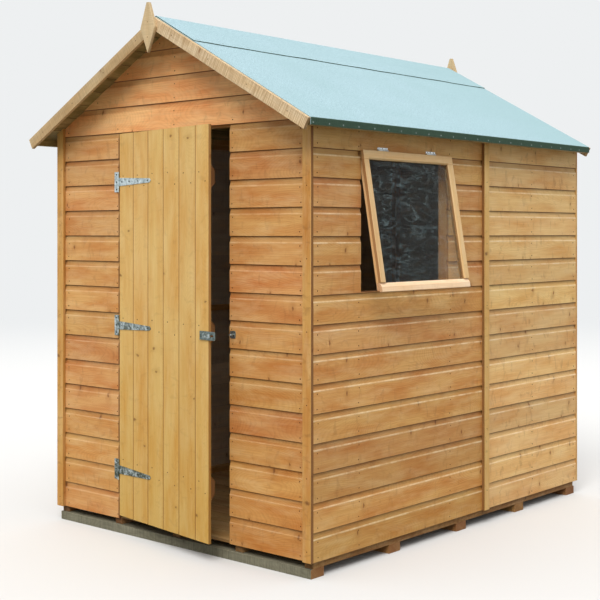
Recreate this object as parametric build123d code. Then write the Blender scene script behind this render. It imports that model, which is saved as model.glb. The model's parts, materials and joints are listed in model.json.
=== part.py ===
from build123d import *
import os
from math import cos, radians, sin, tan

# Garden shed, 7 ft by 5 ft, with an apex roof. Millimetres, +Z up, the door faces -Y.
# The origin is on the ground at the middle of the plan.

# Plan and walls
width = 1600                # over the side cladding
length = 2134               # over the end cladding
cladding = 12               # board thickness
frame_depth = 44            # wall framing, measured through the wall
frame_face = 28             # wall framing, measured along the wall
panel_gap = 1               # between the frames of two panels
board_cover = 117.5         # height of one board as laid
scoop_height = 27           # hollow planed along the top of each board
scoop_depth = 6
scoop_hollow = 2.2          # how far the hollow bows in from a straight bevel
window_panel = 1244         # length of the front side panel; the rear panel takes the rest

# Base
bearer_height = 38
bearer_width = 80
bearer_count = 5
joist_height = 28
joist_width = 45
joist_count = 5
floor_thickness = 12

# Roof
pitch = 29
wall_over_door = 16.3       # head of the doorway to the top of the side boards
roof_board = 12
felt = 3
eaves_overhang = 75         # roof boards past the side cladding
front_overhang = 107        # roof boards past the front cladding
cap_half_width = 240        # ridge strip of felt, level width to each side
eaves_batten = 28
eaves_drop = 15             # batten below the underside of the boards at its outer edge
barge_depth = 50            # square to the slope
barge_thickness = 16
barge_gap = 1               # between two bargeboards at the ridge

# Trim
strip_width = 45
strip_thickness = 16
strip_round = 2
side_strip_width = 42
finial_height = 218
finial_width = 92
finial_top = 14
finial_above = 63           # tip above the roof boards' ridge
finial_shoulder = 110       # tip down to the widest point
finial_thickness = 16
finial_offset = -20         # the front one is nailed on a little to the left

# Door
door_rows = 15              # boards from the bottom of the wall to the head of the doorway
doorway_left = -364
doorway_width = 702
door_hinge_gap = 5
door_latch_gap = 7
door_head_gap = 5
door_floor_gap = 5
door_proud = 5              # door face in front of the cladding
door_board = 12
first_door_board = 116      # the hinge-side board is ripped down
door_board_cover = 119.5
door_groove_width = 5
door_groove_depth = 2.5
door_angle = 8.6            # ajar
door_stop = 10              # header shows below the gable boards
ledge_width = 94
ledge_thickness = 20
ledge_bevel = 18
ledge_foot_inset = 230      # foot of the door to the middle of the lowest ledge
ledge_head_inset = 217.5

# Tee hinges
hinge_drops = (21, 9.5, 2)  # below the middle of each ledge, lowest first
knuckle_radius = 4
pin_radius = 2.2
pin_clearance = 0.3
hinge_plate = 2.5
leaf_height = 92
leaf_width = 30
strap_length = 262
strap_root = 38
strap_tip = 18
knuckle_gap = 0.5
neck_depth = 1              # sheet between a knuckle and its leaf

# Hasp on the door and staple on the wall
hasp_drop = 13.5            # below the middle of the middle ledge
hasp_inset = 53             # hinge pin back from the latch edge of the door
hasp_reach = 50             # tip past the edge
hasp_width = 36
hasp_corner = 6
hasp_leaf_length = 44
hasp_leaf_thickness = 1.5
hasp_strap_thickness = 2
hasp_rib_radius = 5
hasp_rib_depth = 2.5
hasp_rib_length = 54
hasp_rib_start = 12         # from the pin
slot_length = 22
slot_width = 8
slot_from_tip = 12
staple_plate = 32
staple_plate_thickness = 2
staple_width = 16
staple_wire = 2.5           # radius
staple_leg = 12

# Window
window_from_front = 304
window_width = 640
sill_rows = 9               # boards below the window
window_rows = 5
window_trim = 3             # boards cut back above and below
sash_overlap = 6
sash_lip = 15
sash_tongue = 18
sash_clearance = 2
sash_bar = 38
sash_moulding = 6           # bevel round the sight edge
sill_bevel_depth = 9        # weathering on the bottom rail
sill_bevel_height = 16
glass = 3
glass_rebate = 8
glass_clearance = 0.5
sash_angle = 9.8            # propped open
sash_hinge_length = 70
sash_hinge_inset = 150
sash_hinge_radius = 4
seat_gap = 0.3              # a piece beside the tilted sash
stay_width = 12
stay_thickness = 3
stay_inset = 50             # inner end back from the face of the wall
stay_upstand = 34           # end turned up against the bottom rail
stay_tail = 5               # of that, below the rail
peg_radius = 3
peg_height = 14
peg_play = 0.6
peg_inset = 26
peg_plate_length = 30
hole_pitch = 22
hole_count = 4

# Places worked out from the sizes above
side = width / 2
end = length / 2
inner_side = side - cladding
inner_end = end - cladding
floor_under = bearer_height + joist_height
floor_top = floor_under + floor_thickness
wall_foot = floor_under
doorway_right = doorway_left + doorway_width
doorway_head = wall_foot + door_rows * board_cover
slope = tan(radians(pitch))
rise = cos(radians(pitch))
ridge_height = doorway_head + wall_over_door + roof_board / rise + slope * side     # top of the roof boards
panel_joint = -end + window_panel
roof_edge = side + eaves_overhang
roof_front = -end - front_overhang
gable_reach = inner_side - frame_depth


def roof_line(x, below=0):
    """Height of the roof at x, a distance below the board tops measured square to the slope."""
    return ridge_height - below / rise - slope * abs(x)


def block(x0, x1, y0, y1, z0, z1):
    """A square-cut timber between two corners."""
    middle = Pos((x0 + x1) / 2, (y0 + y1) / 2, (z0 + z1) / 2)
    return middle * Box(x1 - x0, y1 - y0, z1 - z0)


def across(points, y0, y1):
    """An outline in X and Z, carried from y0 to y1."""
    plane = Plane(origin=(0, y1, 0), x_dir=(1, 0, 0), z_dir=(0, -1, 0))
    return extrude(plane * make_face(Polyline(*points, close=True)), amount=y1 - y0)


def upright(points, z0, z1):
    """An outline in X and Y, carried from z0 to z1."""
    return extrude(Pos(0, 0, z0) * make_face(Polyline(*points, close=True)), amount=z1 - z0)


def spread(first, last, count):
    """Evenly spaced places, both ends included."""
    return [first + (last - first) * i / (count - 1) for i in range(count)]


def save(name, *solids):
    """Write one named piece; several solids that do not touch share a file."""
    shape = solids[0] if len(solids) == 1 else Compound(children=list(solids))
    export_step(shape, "parts/" + name + ".step")


# Base


def bearers():
    reach = end - bearer_width / 2
    return [block(-inner_side, inner_side, y - bearer_width / 2, y + bearer_width / 2, 0, bearer_height)
            for y in spread(-reach, reach, bearer_count)]


def joists(y0, y1):
    reach = inner_side - joist_width / 2
    return [block(x - joist_width / 2, x + joist_width / 2, y0, y1, bearer_height, floor_under)
            for x in spread(-reach, reach, joist_count)]


def floor_section(y0, y1):
    return block(-inner_side, inner_side, y0, y1, floor_under, floor_top)


# Walls


def boarding(outer, inner, outer_head, inner_head):
    """Section of a boarded wall: square face, then a hollow planed under the next board's edge.

    outer and inner are the places of its two faces. Each board is scoop_height of hollow above a flat.
    """
    inward = scoop_depth if inner > outer else -scoop_depth
    bow = scoop_hollow if inner > outer else -scoop_hollow
    edges = []
    foot = wall_foot
    while foot + board_cover < outer_head:
        joint = foot + board_cover
        arris = joint - scoop_height
        top = (outer + inward, joint)
        middle = (outer + inward / 2 + bow, joint - scoop_height / 2)
        edges += [Line((outer, foot), (outer, arris)), ThreePointArc((outer, arris), middle, top),
                  Line(top, (outer, joint))]
        foot = joint
    back = Polyline((outer, foot), (outer, outer_head), (inner, inner_head), (inner, wall_foot),
                    (outer, wall_foot))
    return make_face(edges + back.edges())


def end_boarding(x0, x1, outer, inner, head):
    """Boarding of an end wall from x0 to x1, its outer face towards one end of the shed."""
    plane = Plane(origin=(x0, 0, 0), x_dir=(0, 1, 0), z_dir=(1, 0, 0))
    return extrude(plane * boarding(outer, inner, head, head), amount=x1 - x0)


def side_outline(x0, x1, foot):
    """Section of a side wall layer, bevelled to the roof boards."""
    return [(x0, foot), (x1, foot), (x1, roof_line(x1, roof_board)), (x0, roof_line(x0, roof_board))]


def side_cladding(hand, y0, y1):
    section = boarding(hand * side, hand * inner_side, roof_line(side, roof_board),
                       roof_line(inner_side, roof_board))
    return extrude(Plane(origin=(0, y1, 0), x_dir=(1, 0, 0), z_dir=(0, -1, 0)) * section, amount=y1 - y0)


def window_hole(x0, x1):
    y0 = -end + window_from_front
    z0 = wall_foot + sill_rows * board_cover + window_trim
    z1 = wall_foot + (sill_rows + window_rows) * board_cover - window_trim
    return x0, x1, y0, y0 + window_width, z0, z1


def end_outline(foot):
    """Outline of a gable end between the side walls."""
    return [(-inner_side, foot), (inner_side, foot), (inner_side, roof_line(inner_side, roof_board)),
            (0, roof_line(0, roof_board)), (-inner_side, roof_line(inner_side, roof_board))]


def side_depth(hand):
    """Inner and outer face of a side wall's framing, in order of X."""
    return sorted((hand * (inner_side - frame_depth), hand * inner_side))


def side_studs(hand, starts):
    """Studs of one side wall, from the bottom rail to the top rail."""
    x0, x1 = side_depth(hand)
    foot = floor_top + frame_face
    outline = [(x0, foot), (x1, foot), (x1, roof_line(x1, roof_board) - frame_face),
               (x0, roof_line(x0, roof_board) - frame_face)]
    return [across(outline, y, y + frame_face) for y in starts]


def side_rails(hand, spans, noggins):
    """Bottom and top rail of each panel, and the short rails between studs."""
    x0, x1 = side_depth(hand)
    top = [(x0, roof_line(x0, roof_board) - frame_face), (x1, roof_line(x1, roof_board) - frame_face),
           (x1, roof_line(x1, roof_board)), (x0, roof_line(x0, roof_board))]
    rails = [block(x0, x1, y0, y1, floor_top, floor_top + frame_face) for y0, y1 in spans]
    rails += [across(top, y0, y1) for y0, y1 in spans]
    rails += [block(x0, x1, y0, y1, z, z + frame_face) for y0, y1, z in noggins]
    return rails


def bays(starts):
    """Clear spans between neighbouring studs."""
    return [(a + frame_face, b) for a, b in zip(starts, starts[1:])]


def gable_studs(y0, y1, doorway):
    """Posts of one end under its sloping rails, and the king post over the header."""
    foot = floor_top + frame_face
    header = doorway_head - door_stop
    below = roof_board + frame_face
    corners = [-gable_reach, gable_reach - frame_face]
    studs = []
    for x in corners:
        top = [(x, foot), (x + frame_face, foot), (x + frame_face, roof_line(x + frame_face, below)),
               (x, roof_line(x, below))]
        studs.append(across(top, y0, y1))
    if doorway:
        studs += [block(x, x + frame_face, y0, y1, floor_top, header)
                  for x in (doorway_left - frame_face, doorway_right)]
    else:
        studs += [block(x, x + frame_face, y0, y1, foot, header) for x in (doorway_left, doorway_right)]
    half = frame_face / 2
    king = [(-half, header + frame_face), (half, header + frame_face), (half, roof_line(half, below)),
            (0, roof_line(0, below)), (-half, roof_line(half, below))]
    studs.append(across(king, y0, y1))
    return studs


def gable_rails(y0, y1, doorway):
    """Bottom rail, header between the corner posts, and the rails under the slopes."""
    header = doorway_head - door_stop
    spans = [(-gable_reach, gable_reach)]
    if doorway:
        spans = [(-gable_reach, doorway_left - frame_face), (doorway_right + frame_face, gable_reach)]
    rails = [block(x0, x1, y0, y1, floor_top, floor_top + frame_face) for x0, x1 in spans]
    reach = gable_reach - frame_face
    rails.append(block(-reach, reach, y0, y1, header, header + frame_face))
    for hand in (-1, 1):
        sloping = [(x, roof_line(x, below)) for x, below in (
            (panel_gap / 2, roof_board), (gable_reach, roof_board),
            (gable_reach, roof_board + frame_face), (panel_gap / 2, roof_board + frame_face))]
        rails.append(across([(hand * x, z) for x, z in sloping], y0, y1))
    return rails


# Trim


def corner_strip(hand, front):
    x0, x1 = sorted((hand * side, hand * (side - strip_width)))
    below = roof_board if front else barge_depth
    outline = side_outline(x0, x1, wall_foot)
    outline[2] = (x1, roof_line(x1, below))
    outline[3] = (x0, roof_line(x0, below))
    if front:
        return across(outline, -end - strip_thickness, -end)
    return across(outline, end, end + strip_thickness)


def rounded(strip, direction):
    """Take the sharp arrises off the outer face of an upright strip."""
    outer = strip.edges().filter_by(Axis.Z).group_by(direction)[-1]
    return fillet(outer, strip_round)


def side_strip(hand):
    x0, x1 = sorted((hand * side, hand * (side + strip_thickness)))
    half = side_strip_width / 2
    return across(side_outline(x0, x1, wall_foot), panel_joint - half, panel_joint + half)


def barge(hand, y0, y1):
    """Board along one verge, its lower end cut square to the slope."""
    edge = roof_edge + felt
    run = sin(radians(pitch)) * barge_depth
    drop = rise * barge_depth
    start = barge_gap / 2
    points = [(start, roof_line(start)), (edge, roof_line(edge)),
              (edge - run, roof_line(edge) - drop), (start, roof_line(start, barge_depth))]
    return across([(hand * x, z) for x, z in points], y0, y1)


def finial(middle, y0, y1):
    tip = ridge_height + finial_above
    shoulder = tip - finial_shoulder
    half = finial_width / 2
    blunt = finial_top / 2
    points = [(-blunt, tip), (blunt, tip), (half, shoulder), (0, tip - finial_height), (-half, shoulder)]
    return across([(middle + x, z) for x, z in points], y0, y1)


# Roof


def roof_boards(hand):
    points = [(0, roof_line(0)), (hand * roof_edge, roof_line(roof_edge)),
              (hand * roof_edge, roof_line(roof_edge, roof_board)), (0, roof_line(0, roof_board))]
    return across(points, roof_front, end)


def roof_battens(hand):
    """Eaves batten outside the wall, purlin half way up, and a batten beside the ridge."""
    inner = roof_edge - eaves_batten
    foot = roof_line(roof_edge, roof_board) - eaves_drop
    eaves = across([(hand * inner, foot), (hand * roof_edge, foot),
                    (hand * roof_edge, roof_line(roof_edge, roof_board)),
                    (hand * inner, roof_line(inner, roof_board))], roof_front, end)
    inside = inner_end - frame_depth
    result = [eaves]
    for x in (inner_side / 2, frame_face / 2):
        outer = x + frame_face
        high = roof_line(outer, roof_board)
        points = [(x, high - frame_depth), (outer, high - frame_depth), (outer, high),
                  (x, roof_line(x, roof_board))]
        result.append(across([(hand * x, z) for x, z in points], -inside, inside))
    return result


def roof_felt(hand):
    """One sheet over the boards and turned down over the eaves."""
    outer = roof_edge + felt
    foot = roof_line(roof_edge, roof_board) - eaves_drop
    points = [(0, roof_line(0)), (roof_edge, roof_line(roof_edge)), (roof_edge, foot), (outer, foot),
              (outer, roof_line(outer, -felt)), (0, roof_line(0, -felt))]
    return across([(hand * x, z) for x, z in points], roof_front, end)


def ridge_cap():
    edge = cap_half_width
    under = [(edge, roof_line(edge, -felt)), (0, roof_line(0, -felt)), (-edge, roof_line(edge, -felt))]
    over = [(x, z + felt / rise) for x, z in reversed(under)]
    return across(under + over, roof_front, end)


# Door. It is built shut and then swung about the hinge pins.

door_face = -end - door_proud
hinge_x = doorway_left + door_hinge_gap / 2
hinge_y = door_face - knuckle_radius
door_left = doorway_left + door_hinge_gap
door_right = doorway_right - door_latch_gap
door_foot = floor_top + door_floor_gap
door_head = doorway_head - door_head_gap
ajar = Pos(hinge_x, hinge_y, 0) * Rot(0, 0, -door_angle) * Pos(-hinge_x, -hinge_y, 0)
lowest_ledge = door_foot + ledge_foot_inset
highest_ledge = door_head - ledge_head_inset
ledge_heights = (lowest_ledge, (lowest_ledge + highest_ledge) / 2, highest_ledge)
hinge_heights = [z - drop for z, drop in zip(ledge_heights, hinge_drops)]
hasp_height = ledge_heights[1] - hasp_drop


def door_boards():
    """Boards joined edge to edge, with a V between each two."""
    boards = block(door_left, door_right, door_face, door_face + door_board, door_foot, door_head)
    joint = door_left + first_door_board
    half = door_groove_width / 2
    bottom = door_face + door_groove_depth
    while joint < door_right - door_groove_width:
        groove = [(joint - half, door_face), (joint + half, door_face), (joint, bottom)]
        boards -= upright(groove, door_foot, door_head)
        joint += door_board_cover
    return boards


def ledge(z):
    """Cross rail behind the door, its back edges bevelled."""
    front = door_face + door_board
    back = front + ledge_thickness
    half = ledge_width / 2
    flat = half - ledge_bevel
    plane = Plane(origin=(door_left, 0, 0), x_dir=(0, 1, 0), z_dir=(1, 0, 0))
    points = [(front, z - half), (back - ledge_bevel, z - half), (back, z - flat), (back, z + flat),
              (back - ledge_bevel, z + half), (front, z + half)]
    return extrude(plane * make_face(Polyline(*points, close=True)), amount=door_right - door_left)


def knuckle(x, y, z0, z1, radius):
    return Pos(x, y, (z0 + z1) / 2) * Cylinder(radius, z1 - z0)


def knuckle_heights(z, height):
    """Middle third of a leaf, where the moving knuckle sits between the two fixed ones."""
    half = height / 3 / 2
    return z - half, z + half


def hinge_strap(z):
    """Long tapered leaf on the door, with the middle knuckle bored for the pin."""
    low, high = knuckle_heights(z, leaf_height)
    tip = hinge_x + strap_length
    nose = strap_tip / 2
    shoulder = tip - nose
    outline = [(hinge_x, z - strap_root / 2), (shoulder, z - nose), (tip, z), (shoulder, z + nose),
               (hinge_x, z + strap_root / 2)]
    front = hinge_y - knuckle_radius
    plate = across(outline, door_face - hinge_plate, door_face)
    for z0, z1 in ((z - leaf_height, low), (high, z + leaf_height)):
        plate -= block(hinge_x - knuckle_radius, hinge_x + knuckle_radius, front, door_face, z0, z1)
    plate += knuckle(hinge_x, hinge_y, low, high, knuckle_radius)
    return plate - knuckle(hinge_x, hinge_y, low, high, pin_radius + pin_clearance)


def hinge_leaf(z):
    """Upright leaf on the wall with two knuckles and the pin."""
    low, high = knuckle_heights(z, leaf_height)
    foot, head = z - leaf_height / 2, z + leaf_height / 2
    edge = hinge_x - knuckle_radius
    plate = block(edge - leaf_width, edge, -end - hinge_plate, -end, foot, head)
    neck = [(edge - hinge_plate, -end), (edge, -end), (hinge_x - neck_depth, hinge_y + neck_depth),
            (edge, hinge_y)]
    result = plate + knuckle(hinge_x, hinge_y, foot, head, pin_radius)
    for z0, z1 in ((foot, low - knuckle_gap), (high + knuckle_gap, head)):
        result += upright(neck, z0, z1) + knuckle(hinge_x, hinge_y, z0, z1, knuckle_radius)
    return result


# Hasp. Its pin stands at the back of the leaf, and the strap covers the leaf's screws.

hasp_x = door_right - hasp_inset
hasp_y = door_face - knuckle_radius
hasp_tip = door_right + hasp_reach
slot_end = hasp_tip - slot_from_tip
hasp_low = hasp_height - hasp_width / 2
hasp_top = hasp_height + hasp_width / 2


def hasp_leaf():
    """Leaf screwed to the door, with two knuckles and the pin."""
    low, high = knuckle_heights(hasp_height, hasp_width)
    front = door_face - hasp_leaf_thickness
    clear = hasp_x + knuckle_radius + knuckle_gap
    leaf = block(hasp_x, hasp_x + hasp_leaf_length, front, door_face, hasp_low, hasp_top)
    leaf -= block(hasp_x, clear, front, door_face, low - knuckle_gap, high + knuckle_gap)
    leaf += knuckle(hasp_x, hasp_y, hasp_low, hasp_top, pin_radius)
    for z0, z1 in ((hasp_low, low - knuckle_gap), (high + knuckle_gap, hasp_top)):
        leaf += knuckle(hasp_x, hasp_y, z0, z1, knuckle_radius)
    return leaf


def hasp_strap():
    """Swinging plate with a raised rib and the slot that drops over the staple."""
    low, high = knuckle_heights(hasp_height, hasp_width)
    half = hasp_strap_thickness / 2
    middle = Pos((hasp_x + hasp_tip) / 2, hasp_y, hasp_height)
    plate = middle * Box(hasp_tip - hasp_x, hasp_strap_thickness, hasp_width)
    plate = fillet(plate.edges().filter_by(Axis.Y).group_by(Axis.X)[-1], hasp_corner)
    for z0, z1 in ((hasp_low, low), (high, hasp_top)):
        plate -= block(hasp_x, hasp_x + knuckle_radius + knuckle_gap, hasp_y - half, hasp_y + half, z0, z1)
    centre = hasp_y - half + hasp_rib_radius - hasp_rib_depth
    start = hasp_x + hasp_rib_start
    rib = Pos(start + hasp_rib_length / 2, centre, hasp_height) * Rot(0, 90, 0)
    plate += rib * Cylinder(hasp_rib_radius, hasp_rib_length) & block(
        start, start + hasp_rib_length, centre - hasp_rib_radius, hasp_y, hasp_low, hasp_top)
    slot = Pos(slot_end - slot_length / 2, hasp_y, hasp_height) * Rot(90, 0, 0)
    plate -= slot * extrude(SlotOverall(slot_length, slot_width), amount=hasp_strap_thickness, both=True)
    plate += knuckle(hasp_x, hasp_y, low, high, knuckle_radius)
    return plate - knuckle(hasp_x, hasp_y, low, high, pin_radius + pin_clearance)


def hasp_staple():
    """Plate on the wall with the wire eye that a padlock goes through."""
    x = slot_end - slot_length / 2
    face = -end - staple_plate_thickness
    half = staple_plate / 2
    plate = block(x - half, x + half, face, -end, hasp_height - half, hasp_height + half)
    plate = fillet(plate.edges().filter_by(Axis.Y), hasp_corner)
    bend = staple_width / 2 - staple_wire
    foot, knee = -end, face - staple_leg
    left, right = Vector(x - bend, knee, hasp_height), Vector(x + bend, knee, hasp_height)
    leg = Vector(0, foot - knee, 0)
    route = Line(left + leg, left)
    route += ThreePointArc(left, (x, knee - bend, hasp_height), right)
    route += Line(right, right + leg)
    wire = Plane(origin=(x - bend, foot, hasp_height), z_dir=(0, -1, 0)) * Circle(staple_wire)
    return plate + sweep(wire, path=route)


# Window. The sash is built shut and then swung out about its top edge.

hole = window_hole(inner_side - frame_depth, side)
sash_left = hole[2] - sash_overlap
sash_right = hole[3] + sash_overlap
sash_foot = hole[4] - sash_overlap
sash_head = hole[5] + sash_overlap
propped = Pos(side, 0, sash_head) * Rot(0, -sash_angle, 0) * Pos(-side, 0, -sash_head)


def sash_layers():
    """Outer lip over the wall, tongue in the opening, less the glass opening and its rebate."""
    inset = sash_overlap + sash_clearance
    lip = block(side, side + sash_lip, sash_left, sash_right, sash_foot, sash_head)
    tongue = block(side - sash_tongue, side, sash_left + inset, sash_right - inset,
                   sash_foot + inset, sash_head - inset)
    sight = block(side - sash_tongue, side + sash_lip, sash_left + sash_bar, sash_right - sash_bar,
                  sash_foot + sash_bar, sash_head - sash_bar)
    edge = sash_bar - glass_rebate
    rebate = block(side - sash_tongue, side, sash_left + edge, sash_right - edge,
                   sash_foot + edge, sash_head - edge)
    face = Plane(origin=(side + sash_lip, (sash_left + sash_right) / 2, (sash_foot + sash_head) / 2),
                 x_dir=(0, 1, 0), z_dir=(1, 0, 0))
    reach = 2 * (sash_bar - sash_moulding)
    mouth = face * Rectangle(sash_right - sash_left - reach, sash_head - sash_foot - reach)
    moulding = extrude(mouth, amount=-sash_moulding, taper=45)
    return lip + tongue - sight - rebate - moulding


def sash_rails():
    """Rails right across the sash. The bottom one is weathered, so rain runs off it."""
    whole = sash_layers()
    bottom, top = [whole & block(side - sash_tongue, side + sash_lip, sash_left, sash_right, z, z + sash_bar)
                   for z in (sash_foot, sash_head - sash_bar)]
    outer = side + sash_lip
    head = sash_foot + sash_bar
    bevel = [(outer, head), (outer - sill_bevel_depth, head), (outer, head - sill_bevel_height)]
    return [bottom - across(bevel, sash_left, sash_right), top]


def sash_stiles():
    whole = sash_layers()
    return [whole & block(side - sash_tongue, side + sash_lip, y, y + sash_bar,
                          sash_foot + sash_bar, sash_head - sash_bar)
            for y in (sash_left, sash_right - sash_bar)]


def window_glass():
    edge = sash_bar - glass_rebate + glass_clearance
    return block(side - glass, side, sash_left + edge, sash_right - edge, sash_foot + edge, sash_head - edge)


def sash_hinge(y):
    """Butt hinge over the sash: a leaf on the wall and the knuckle along its foot."""
    half = sash_hinge_length / 2
    lean = radians(sash_angle)
    z = sash_head + (sash_hinge_radius + seat_gap + sash_hinge_radius * sin(lean)) / cos(lean)
    x = side + sash_hinge_radius
    leaf = block(side, side + hinge_plate, y - half, y + half, z, z + 3 * sash_hinge_radius)
    barrel = Pos(x, y, z) * Rot(90, 0, 0) * Cylinder(sash_hinge_radius, sash_hinge_length)
    return leaf + barrel


def window_stay():
    """Bar on the foot of the sash, dropped over a peg on the sill."""
    sill = hole[4]
    middle = (hole[2] + hole[3]) / 2
    span = (middle - stay_width / 2, middle + stay_width / 2)
    back = side - sash_tongue - seat_gap
    foot = sash_foot + sash_overlap + sash_clearance - stay_tail
    upstand = propped * block(back - stay_thickness, back, *span, foot, foot + stay_upstand)
    low = sill + stay_thickness + seat_gap
    high = low + stay_thickness
    bar = block(side - stay_inset, upstand.bounding_box().max.X, *span, low, high)
    bar -= propped * block(back, side + sash_lip, *span, foot - stay_width, foot + stay_upstand)
    peg = side - peg_inset
    for i in range(hole_count):
        bar -= knuckle(peg + i * hole_pitch, middle, low, high, peg_radius + peg_play)
    plate = block(peg - peg_plate_length / 2, peg + peg_plate_length / 2, *span, sill, sill + stay_thickness)
    return [bar + upstand, plate + knuckle(peg, middle, sill, sill + peg_height, peg_radius)]


def main():
    os.makedirs("parts", exist_ok=True)
    save("bearers", *bearers())
    sections = [(-inner_end, panel_joint - panel_gap / 2), (panel_joint + panel_gap / 2, inner_end)]
    save("floor_joists", *[joist for y0, y1 in sections for joist in joists(y0, y1)])
    save("front_floor_section", floor_section(-inner_end, panel_joint))
    save("rear_floor_section", floor_section(panel_joint, inner_end))

    front = (-end, -inner_end)
    peak = roof_line(0, roof_board)
    front_boards = end_boarding(-inner_side, inner_side, *front, peak)
    back_boards = end_boarding(-inner_side, inner_side, end, inner_end, peak)
    save("front_wall_left", end_boarding(-inner_side, doorway_left, *front, doorway_head))
    save("front_wall_right", end_boarding(doorway_right, inner_side, *front, doorway_head))
    save("front_gable", front_boards & across(end_outline(doorway_head), *front))
    save("back_wall", back_boards & across(end_outline(wall_foot), inner_end, end))
    save("right_wall_window_panel", side_cladding(1, -end, panel_joint) - block(*hole))
    save("right_wall_rear_panel", side_cladding(1, panel_joint, end))
    save("left_wall_front_panel", side_cladding(-1, -end, panel_joint))
    save("left_wall_rear_panel", side_cladding(-1, panel_joint, end))

    ends = (("front", -inner_end, -inner_end + frame_depth, True),
            ("back", inner_end - frame_depth, inner_end, False))
    for name, y0, y1, doorway in ends:
        save(name + "_wall_studs", *gable_studs(y0, y1, doorway))
        save(name + "_wall_rails", *gable_rails(y0, y1, doorway))

    plain = [[y0, (y0 + y1 - frame_face) / 2, y1 - frame_face] for y0, y1 in sections]
    _, _, w0, w1, sill, head = hole
    y0, y1 = sections[0]
    glazed = [y0, w0 - frame_face, w1, y1 - frame_face]
    mid = (floor_top + doorway_head) / 2
    level = {starts[0]: [(a, b, mid) for a, b in bays(starts)] for starts in plain}
    around = [(a, b, mid) for a, b in bays(glazed) if a != w0]
    around += [(w0, w1, sill - frame_face), (w0, w1, head)]
    save("left_wall_studs", *side_studs(-1, plain[0] + plain[1]))
    save("left_wall_rails", *side_rails(-1, sections, level[plain[0][0]] + level[plain[1][0]]))
    save("right_wall_studs", *side_studs(1, glazed + plain[1]))
    save("right_wall_rails", *side_rails(1, sections, around + level[plain[1][0]]))

    save("front_corner_strips", *[rounded(corner_strip(hand, True), -Axis.Y) for hand in (-1, 1)])
    save("rear_corner_strips", *[rounded(corner_strip(hand, False), Axis.Y) for hand in (-1, 1)])
    save("side_cover_strips", rounded(side_strip(-1), -Axis.X), rounded(side_strip(1), Axis.X))

    for hand, name in ((-1, "left"), (1, "right")):
        save(name + "_roof_boards", roof_boards(hand))
        save(name + "_roof_battens", *roof_battens(hand))
        save(name + "_roof_felt", roof_felt(hand))
    save("ridge_felt", ridge_cap())
    front_barge = roof_front - barge_thickness
    rear_barge = end + barge_thickness
    save("front_bargeboards", *[barge(hand, front_barge, roof_front) for hand in (-1, 1)])
    save("rear_bargeboards", *[barge(hand, end, rear_barge) for hand in (-1, 1)])
    save("finials", finial(finial_offset, front_barge - finial_thickness, front_barge),
         finial(0, rear_barge, rear_barge + finial_thickness))

    save("door_boards", ajar * door_boards())
    save("door_ledges", *[ajar * ledge(z) for z in ledge_heights])
    save("door_hinge_straps", *[ajar * hinge_strap(z) for z in hinge_heights])
    save("door_hinge_leaves", *[hinge_leaf(z) for z in hinge_heights])
    save("hasp_leaf", ajar * hasp_leaf())
    save("hasp_strap", ajar * hasp_strap())
    save("hasp_staple", hasp_staple())

    save("window_sash_rails", *[propped * rail for rail in sash_rails()])
    save("window_sash_stiles", *[propped * stile for stile in sash_stiles()])
    save("window_glass", propped * window_glass())
    hinge_places = (sash_left + sash_hinge_inset, sash_right - sash_hinge_inset)
    save("window_hinges", *[sash_hinge(y) for y in hinge_places])
    save("window_stay", *window_stay())


main()
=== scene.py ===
# %% [markdown]
# A small apex-roofed garden shed, built from flat timber panels and left with its door ajar and its window
# propped open. A CAD model already fixes where every panel, post and hinge is, so nothing is placed by eye here.
# This script loads that model as a frame and dresses it: boards for the walls, sawn and planed timber for the
# framing and the trim, grit-faced felt for the roof, zinc for the fittings. It could all be one painted box with
# a photograph on it, but then nothing would hold up from close by or from another side.

# %% Load the fixed frame
import json
import math
import random
from functools import partial

import bmesh
import bpy
from mathutils import Matrix, Vector
from mathutils.geometry import interpolate_bezier


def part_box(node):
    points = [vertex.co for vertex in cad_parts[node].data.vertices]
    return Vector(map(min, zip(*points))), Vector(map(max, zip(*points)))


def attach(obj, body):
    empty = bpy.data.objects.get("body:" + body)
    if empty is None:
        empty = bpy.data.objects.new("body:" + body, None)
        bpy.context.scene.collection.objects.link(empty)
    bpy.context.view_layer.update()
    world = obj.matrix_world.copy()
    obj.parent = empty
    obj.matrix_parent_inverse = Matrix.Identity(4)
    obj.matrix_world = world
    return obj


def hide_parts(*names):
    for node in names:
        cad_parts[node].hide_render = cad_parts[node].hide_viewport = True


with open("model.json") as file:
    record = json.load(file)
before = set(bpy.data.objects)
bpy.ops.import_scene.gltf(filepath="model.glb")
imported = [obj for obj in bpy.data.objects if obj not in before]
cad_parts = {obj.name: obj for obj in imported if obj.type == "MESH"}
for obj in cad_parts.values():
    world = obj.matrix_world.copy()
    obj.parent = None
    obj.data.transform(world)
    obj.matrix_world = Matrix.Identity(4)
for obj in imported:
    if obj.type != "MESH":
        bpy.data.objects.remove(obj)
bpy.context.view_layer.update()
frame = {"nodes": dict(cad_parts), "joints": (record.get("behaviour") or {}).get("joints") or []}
nodes = frame["nodes"]

# %% [markdown]
# The camera stands where the photographer stood, about four metres from the near corner and at head height.
# It looks level, so the corners of the shed stay upright, and the lens is shifted down to take in the whole shed.
# Tilting the camera instead would make the walls lean towards each other.

# %% Camera at the viewing angle
scene = bpy.context.scene
lens = bpy.data.cameras.new("camera")
lens.lens = 73.34
lens.sensor_width = 36
lens.shift_y = -0.113
camera = bpy.data.objects.new("camera", lens)
camera.location = (3.9255, -4.7462, 1.3748)
camera.rotation_euler = (math.radians(90), 0, math.radians(40.98))
scene.collection.objects.link(camera)
scene.camera = camera
scene.view_settings.view_transform = "Standard"
print("camera", tuple(camera.location), "lens", lens.lens)

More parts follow.
